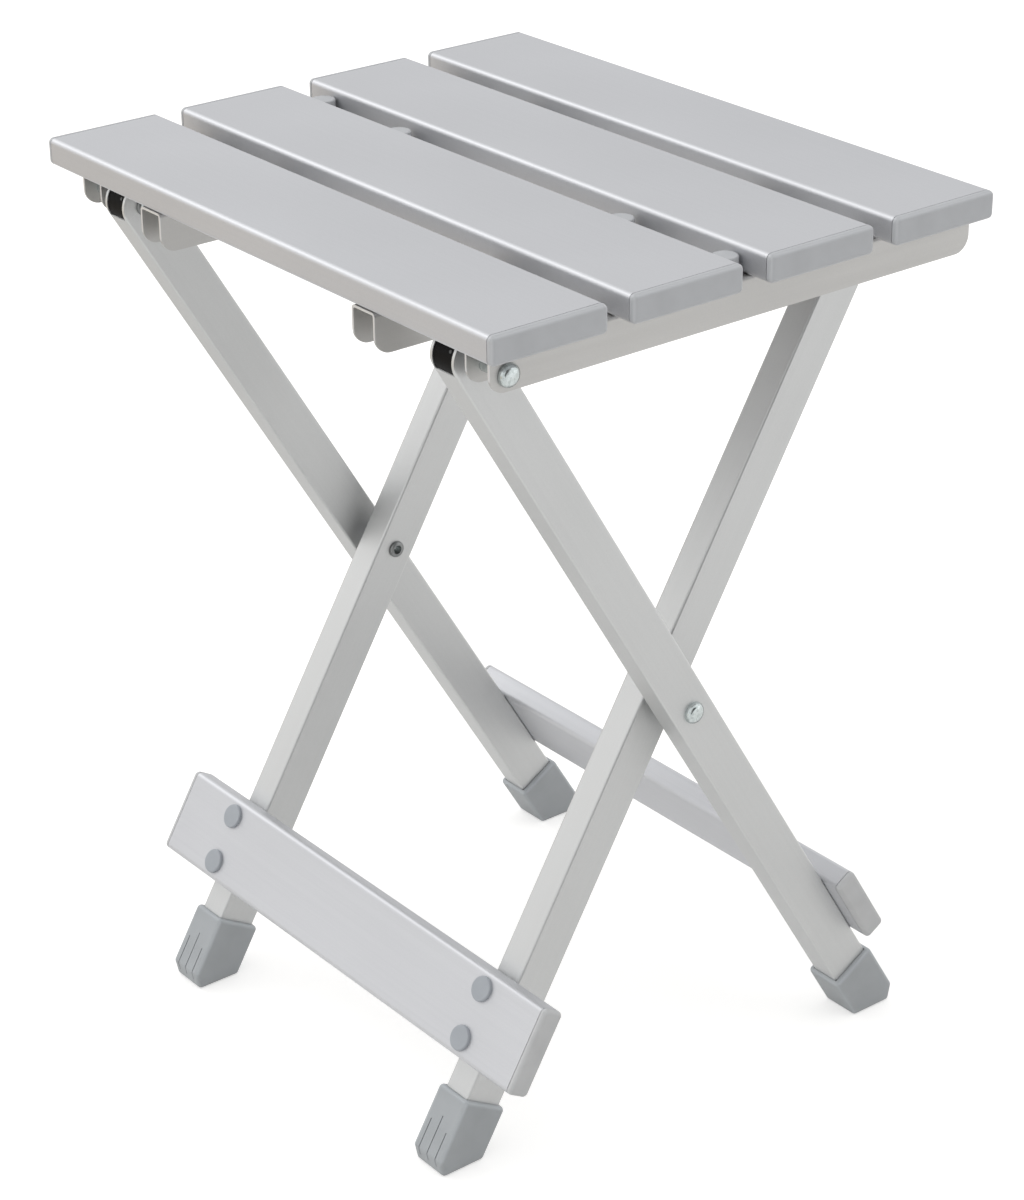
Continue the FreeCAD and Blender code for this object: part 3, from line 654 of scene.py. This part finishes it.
@dataclass(frozen=True)
class GatePip:
    """The small round mark that is left where the melt flowed into a plug's mould.

    Attributes:
        radius: Radius of the pip, and its height.
        rim: Width of its rim, as a share of the radius.
        dip: Depth of the crater in its top, as a share of the radius.
        soft: Bevel of its edges, as a share of the radius.
        sides: Number of sides of its round.
        crease: Angle up to which neighbouring faces are shaded smooth, in degrees.
    """

    radius: float = 0.0008
    rim: float = 0.4
    dip: float = 0.2
    soft: float = 0.15
    sides: int = 24
    crease: float = 40.0

    def model(self, name: str) -> bpy.types.Object:
        """Model the pip at the origin, facing up, with a shallow crater in its top.

        Args:
            name: Name of the pip.

        Returns:
            The pip.
        """
        bpy.ops.object.select_all(action="DESELECT")
        bpy.ops.mesh.primitive_cylinder_add(vertices=self.sides, radius=self.radius, depth=self.radius)
        pip = bpy.context.active_object
        pip.name = name
        for item in (*pip.data.vertices, *pip.data.edges):
            item.select = False
        for face in pip.data.polygons:
            face.select = face.normal.z > UPWARD
        bpy.ops.object.mode_set(mode="EDIT")
        bpy.ops.mesh.select_mode(type="FACE")
        bpy.ops.mesh.inset(thickness=self.radius * self.rim)
        bpy.ops.transform.translate(value=(0.0, 0.0, -self.radius * self.dip))
        bpy.ops.object.mode_set(mode="OBJECT")
        edge = pip.modifiers.new("soft_edge", "BEVEL")
        edge.width = self.radius * self.soft
        edge.segments = 2
        bpy.ops.object.modifier_apply(modifier=edge.name)
        bpy.ops.object.shade_smooth_by_angle(angle=math.radians(self.crease))
        return pip


@dataclass
class LegFrame:
    """A pair of legs with their plugs, boots and crossbar, built along axes that lean from the crossing.

    Attributes:
        body: Body that the frame belongs to.
        kind: Word for its legs, outer or inner.
        bar: Word for its crossbar, front or rear.
        pivots: Pivots that stay with it, with the distance from the middle within which rivet tails lie.
        outward: Sign of Y at its feet.
        leg_x: Distance of a leg's middle from the centre.
        cross_height: Height of the crossing.
        pivot_height: Height of the top pivots.
        pivot_span: Distance of the top pivots from the middle.
        tube_half: Half sizes of the tube's section.
        boot_half: Half sizes of a boot's section.
        boot_rim: Distance of the boots' rims below the crossing, along the leg.
        bar_half: Half sizes of the crossbar's section.
        cut_highlight_mm: Reach of the painted highlight on the cut edges at a leg's top.
        pip: Gate pip on a plug.
        pip_shift: Distance of the pip from the leg's middle.
        pip_rise: Place of the pip round the plug's head, in degrees above the narrow face.
        head_radius: Radius of the plug's round head.
    """

    body: str
    kind: str
    bar: str
    pivots: dict[str, float]
    outward: int
    leg_x: float
    cross_height: float = 0.208
    pivot_height: float = 0.4105
    pivot_span: float = 0.1215
    tube_half: Pair = (0.008, 0.011)
    boot_half: Pair = (0.0108, 0.0131)
    boot_rim: float = 0.2081
    bar_half: Pair = (0.006, 0.0215)
    cut_highlight_mm: float = 0.08
    pip: GatePip = GatePip()
    pip_shift: float = 0.0043
    pip_rise: float = 57.0
    head_radius: float = 0.0105

    @property
    def turn(self) -> float:
        """Turn of the open frame about X, in radians."""
        return math.atan2(self.pivot_span, self.pivot_height - self.cross_height) * self.outward

    @property
    def upper(self) -> float:
        """Length from the crossing to the top pivot."""
        return math.hypot(self.pivot_span, self.pivot_height - self.cross_height)

    @property
    def bar_axes(self) -> Axes:
        """Own axes of the crossbar and its caps."""
        low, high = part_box(f"{self.bar}_crossbar")
        return Axes(tuple((low + high) / 2), self.turn, (ENDLESS, *self.bar_half))

    def own_to_stool(self, x: float, y: float, z: float) -> Vector:
        """Carry a point from the frame's own axes to the stool's.

        Args:
            x: Along the slats.
            y: Across the legs.
            z: Along the legs, up from the crossing.

        Returns:
            The point in the stool's frame.
        """
        spin = Matrix.Rotation(self.turn, 3, "X")
        return spin @ Vector((x, y, z)) + Vector((0.0, 0.0, self.cross_height))

    def dress(self, nodes: CadNodes) -> None:
        """Give every node of the frame its finish, and the plugs their pips.

        Args:
            nodes: CAD objects by name.
        """
        for side in Side:
            self.dress_leg(nodes, side)
            cap = f"{self.bar}_crossbar_cap_{side.word}"
            wear(nodes[cap], BAR_CAP_PLASTIC.material(cap, self.bar_axes))
        bar = f"{self.bar}_crossbar"
        wear(nodes[bar], BAR_METAL.material(bar, self.bar_axes, Run.ALONG_X))
        buttons = f"{self.bar}_crossbar_buttons"
        wear(nodes[buttons], BUTTON_PLASTIC.material(buttons, Axes()))
        self.set_pips()
        screws = f"{self.bar}_crossbar_screws"
        wear(nodes[screws], ZINC.material(screws))
        for place, tails in self.pivots.items():
            sleeves, rivets = f"{place}_pivot_sleeves", f"{place}_pivot_rivets"
            wear(nodes[sleeves], CAP_PLASTIC.material(sleeves, Axes()))
            wear(nodes[rivets], ZINC.material(rivets, tails))

    def dress_leg(self, nodes: CadNodes, side: Side) -> None:
        """Give one leg, its plug and its boot their finishes.

        Args:
            nodes: CAD objects by name.
            side: Side of the leg.
        """
        x = self.leg_x * side.value
        leg = f"{self.kind}_leg_{side.word}"
        tube = Axes((x, 0.0, self.cross_height), self.turn, (*self.tube_half, ENDLESS))
        wear(nodes[leg], TUBE_METAL.material(leg, tube, Run.ALONG_Z, self.cut_top_highlight))
        plug = f"{self.kind}_leg_plug_{side.word}"
        wear(nodes[plug], BLACK_PLASTIC.material(plug, Axes()))
        boot = f"{self.kind}_boot_{side.word}"
        # The boot's box starts at its rim and ends far below the sole, whose edges get no painted
        # highlight.
        middle = self.own_to_stool(x, 0.0, -2 * self.boot_rim)
        shoe = Axes(tuple(middle), self.turn, (*self.boot_half, self.boot_rim))
        wear(nodes[boot], BOOT_PLASTIC.material(boot, shoe))

    def cut_top_highlight(self, tree: Tree, own: Socket) -> Socket:
        """Mask of the cut edges at the top of a leg: the round tongues and the squared walls between them.

        Args:
            tree: Node tree of the material.
            own: Coordinates in the leg's own axes.

        Returns:
            Value socket, 1 on the cut edges.
        """
        # The masked cut edges take a painted highlight.
        flat = {"operation": "MULTIPLY_ADD", 1: ROUND_X, 2: (0.0, 0.0, -self.upper)}
        arm = add_node(tree, "ShaderNodeVectorMath", flat, {0: own}).outputs[0]
        reach = add_node(tree, "ShaderNodeVectorMath", {"operation": "LENGTH"}, {0: arm}).outputs["Value"]
        rim = {"operation": "GREATER_THAN", 1: self.tube_half[1] - self.cut_highlight_mm * MM}
        outer = add_node(tree, "ShaderNodeMath", rim, {0: reach}).outputs[0]
        height = add_node(tree, "ShaderNodeSeparateXYZ", links={0: arm}).outputs[2]
        top = {"operation": "GREATER_THAN", 1: 0.0}
        above = add_node(tree, "ShaderNodeMath", top, {0: height}).outputs[0]
        both = {"operation": "MULTIPLY"}
        tongue = add_node(tree, "ShaderNodeMath", both, {0: outer, 1: above}).outputs[0]
        level = {"operation": "COMPARE", 1: 0.0, 2: self.cut_highlight_mm * MM}
        square = add_node(tree, "ShaderNodeMath", level, {0: height}).outputs[0]
        return add_node(tree, "ShaderNodeMath", {"operation": "MAXIMUM"}, {0: tongue, 1: square}).outputs[0]

    def set_pips(self) -> None:
        """Set a gate pip on the round head of each plug, off the middle on the same hand."""
        first = self.pip.model(f"{self.kind}_plug_pip")
        other = first.copy()
        other.data = first.data.copy()
        bpy.context.scene.collection.objects.link(other)
        rise = math.radians(self.pip_rise)
        out = -self.outward * self.head_radius * math.cos(rise)
        up = self.upper + self.head_radius * math.sin(rise)
        tilt = self.turn + self.outward * (math.pi / 2 - rise)
        for side, pip in zip(Side, (first, other)):
            pip.name = f"{self.kind}_plug_pip_{side.word}"
            x = self.leg_x * side.value + self.pip_shift * self.outward
            spot = self.own_to_stool(x, out, up)
            pip.data.transform(Matrix.Translation(spot) @ Matrix.Rotation(tilt, 4, "X"))
            wear(pip, GATE_PLASTIC.material(pip.name, Axes()))
            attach(pip, self.body)


@dataclass(frozen=True)
class Change:
    """A change of light or paint toward one side of the studio.

    Attributes:
        side: Direction of the change.
        span: Reach in that direction at which the change starts and ends.
        levels: Level before the change and after it.
    """

    side: Triple
    span: Pair
    levels: Pair = (0.0, 1.0)

    def level(self, tree: Tree, toward: Socket) -> Socket:
        """Level at a place or in a direction.

        Args:
            tree: Node tree of the sky or the floor.
            toward: Direction of sight, or place on the floor.

        Returns:
            Value socket.
        """
        unit = tuple(Vector(self.side).normalized())
        near = add_node(tree, "ShaderNodeVectorMath", {"operation": "DOT_PRODUCT", 1: unit}, {0: toward})
        start, end = self.span
        before, after = self.levels
        limits = {"From Min": start, "From Max": end, "To Min": before, "To Max": after}
        soft = {"interpolation_type": "SMOOTHSTEP", **limits}
        ramp = add_node(tree, "ShaderNodeMapRange", soft, {"Value": near.outputs["Value"]})
        return ramp.outputs["Result"]


# Direction on the floor from the front left to the rear right.
FLOOR_WAY: Triple = (0.78, 0.62, 0.0)


@dataclass
class Studio:
    """White studio: a pale floor, an even sky and one large softbox at the front left.

    Attributes:
        floor_size: Width of the floor, in metres.
        floor_end: Where the floor ends on the right, toward the studio's open end.
        floor_drop: Room between the soles and the floor.
        floor_colours: Colours of the floor, far off at the front left and round the stool.
        floor_tint: Where the far colour ends.
        floor_lift: Light that the floor adds for mirror rays, so that metal shows it pale.
        floor_white: Light that it adds for camera rays, so that it shows white.
        bright_wall: Even sky that grows brighter toward the studio's bright wall.
        sweep: Light that the lit white sweep behind the stool adds.
        open_end: Share of the light left toward the studio's dark end, which shows in the rivet heads.
        box_spot: Middle of the softbox.
        box_size: Width and height of the softbox.
        box_power: Power of the softbox, in watts.
        box_aim: Point that the softbox faces, the middle of the stool.
    """

    floor_size: float = 14.0
    floor_end: float = 0.85
    floor_drop: float = 0.0001
    floor_colours: tuple[str, str] = ("#DED3C3", "#DDDCDA")
    floor_tint: Change = Change(FLOOR_WAY, (-1.2, -0.55))
    floor_lift: Change = Change(FLOOR_WAY, (-0.7, 0.1), (0.05, 0.27))
    floor_white: float = 0.5
    bright_wall: Change = Change((-0.70, -0.62, 0.35), (0.2, 1.0), (0.89, 1.13))
    sweep: Change = Change((0.70, 0.66, 0.28), (0.45, 1.0), (0.0, 0.3))
    open_end: Change = Change((0.95, 0.0, 0.24), (0.83, 0.92), (1.0, 0.12))
    box_spot: Triple = (-1.65, -0.6, 1.6)
    box_size: Pair = (1.5, 1.1)
    box_power: float = 4.8
    box_aim: Triple = (0.0, 0.0, 0.22)

    def build(self) -> None:
        """Set the floor, the sky and the softbox."""
        self.lay_floor()
        self.light_sky()
        self.hang_softbox()

    def lay_floor(self) -> None:
        """Lay the floor just under the soles."""
        bpy.ops.object.select_all(action="DESELECT")
        spot = (self.floor_end - self.floor_size / 2, 0.0, -self.floor_drop)
        bpy.ops.mesh.primitive_plane_add(size=self.floor_size, location=spot)
        floor = bpy.context.active_object
        floor.name = "studio_floor"
        bpy.ops.object.transform_apply(location=True, rotation=True, scale=True)
        wear(floor, self.floor_paint())

    def floor_paint(self) -> bpy.types.Material:
        """Matt floor paint, tinted far off, that shows white to the camera and pale in metal.

        Returns:
            The material.
        """
        material, tree = new_material("studio_floor_paint")
        own = add_node(tree, "ShaderNodeTexCoord").outputs["Object"]
        far, near = (linear(colour) for colour in self.floor_colours)
        tint = {"Fac": self.floor_tint.level(tree, own)}
        paint = add_node(tree, "ShaderNodeMixRGB", {"Color1": far, "Color2": near}, tint).outputs["Color"]
        matt = add_node(tree, "ShaderNodeBsdfDiffuse", links={"Color": paint})
        path = add_node(tree, "ShaderNodeLightPath").outputs
        rays = {0: path["Is Glossy Ray"], 1: path["Is Transmission Ray"]}
        mirrored = add_node(tree, "ShaderNodeMath", {"operation": "MAXIMUM"}, rays).outputs[0]
        lifted = {0: mirrored, 1: self.floor_lift.level(tree, own)}
        pale = add_node(tree, "ShaderNodeMath", {"operation": "MULTIPLY"}, lifted).outputs[0]
        seen = {"operation": "MULTIPLY_ADD", 1: self.floor_white}
        strength = add_node(tree, "ShaderNodeMath", seen, {0: path["Is Camera Ray"], 2: pale})
        glow = add_node(tree, "ShaderNodeEmission", links={"Strength": strength.outputs[0]})
        both = {0: matt.outputs["BSDF"], 1: glow.outputs["Emission"]}
        close_material(tree, add_node(tree, "ShaderNodeAddShader", links=both).outputs["Shader"])
        return material

    def light_sky(self) -> None:
        """Light the stool evenly, with a white background for camera rays."""
        world = bpy.data.worlds.new("studio_sky")
        world.use_nodes = True
        tree = world.node_tree
        tree.nodes.clear()
        toward = add_node(tree, "ShaderNodeTexCoord").outputs["Generated"]
        lit = {0: self.bright_wall.level(tree, toward), 1: self.sweep.level(tree, toward)}
        both = add_node(tree, "ShaderNodeMath", {"operation": "ADD"}, lit).outputs[0]
        dimmed = {0: both, 1: self.open_end.level(tree, toward)}
        studio = add_node(tree, "ShaderNodeMath", {"operation": "MULTIPLY"}, dimmed).outputs[0]
        camera_ray = add_node(tree, "ShaderNodeLightPath").outputs["Is Camera Ray"]
        ends = {"Value": camera_ray, "To Min": studio}
        strength = add_node(tree, "ShaderNodeMapRange", {"To Max": 1.0}, ends).outputs["Result"]
        sky = add_node(tree, "ShaderNodeBackground", {"Color": linear("#FFFFFF")}, {"Strength": strength})
        add_node(tree, "ShaderNodeOutputWorld", links={"Surface": sky.outputs["Background"]})
        bpy.context.scene.world = world

    def hang_softbox(self) -> None:
        """Hang the softbox so that it faces the middle of the stool."""
        data = bpy.data.lights.new("softbox", "AREA")
        data.shape = "RECTANGLE"
        data.size, data.size_y = self.box_size
        data.energy = self.box_power
        lamp = bpy.data.objects.new("softbox", data)
        bpy.context.scene.collection.objects.link(lamp)
        lamp.location = self.box_spot
        aim = Vector(self.box_aim) - lamp.location
        lamp.rotation_euler = aim.to_track_quat("-Z", "Y").to_euler()


@dataclass
class PhotoCamera:
    """Camera at the photograph's viewing angle.

    Attributes:
        spot: Place of the lens, in metres.
        yaw: Turn about the vertical, in degrees.
        pitch: Tilt up, in degrees.
        roll: Turn about the line of sight, in degrees.
        focal_px: Focal length in pixels of the picture.
        width_px: Width of the picture in pixels.
        sensor_mm: Width of the sensor.
    """

    spot: Triple = (1.07536, -0.83987, 0.87751)
    yaw: float = 52.015
    pitch: float = -25.902
    roll: float = -0.654
    focal_px: float = 3136.5
    width_px: float = 1024.0
    sensor_mm: float = 36.0

    def build(self) -> None:
        """Make the camera and look through it."""
        data = bpy.data.cameras.new("photo_camera")
        data.sensor_fit = "HORIZONTAL"
        data.sensor_width = self.sensor_mm
        data.lens = self.focal_px * self.sensor_mm / self.width_px
        camera = bpy.data.objects.new("photo_camera", data)
        bpy.context.scene.collection.objects.link(camera)
        heading = Matrix.Rotation(math.radians(self.yaw), 4, "Z")
        # An unturned camera looks straight down, so a quarter turn is level.
        tilt = Matrix.Rotation(math.pi / 2 + math.radians(self.pitch), 4, "X")
        spin = Matrix.Rotation(math.radians(self.roll), 4, "Z")
        camera.matrix_world = Matrix.Translation(self.spot) @ heading @ tilt @ spin
        bpy.context.scene.camera = camera


def main() -> None:
    """Load the frame, dress its sub-assemblies and set the studio."""
    logging.basicConfig(level=logging.INFO, format="%(name)s: %(message)s")
    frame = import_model()
    nodes = frame["nodes"]
    parts = [
        LegFrame(
            body="outer_leg_frame",
            kind="outer",
            bar="rear",
            pivots={"front": 0.118, "cross": 0.096},
            outward=1,
            leg_x=0.125,
        ),
        LegFrame(
            body="inner_leg_frame",
            kind="inner",
            bar="front",
            pivots={"rear": 0.074},
            outward=-1,
            leg_x=0.103,
        ),
        SeatHalf(body="rear_seat", rails="outer", slats=(3, 4)),
        SeatHalf(body="front_seat", rails="inner", slats=(1, 2)),
    ]
    for part in parts:
        part.dress(nodes)
        LOG.info("%s is dressed", part.body)
    Studio().build()
    PhotoCamera().build()
    bpy.context.scene.view_settings.view_transform = "Standard"


if __name__ == "__main__":
    main()
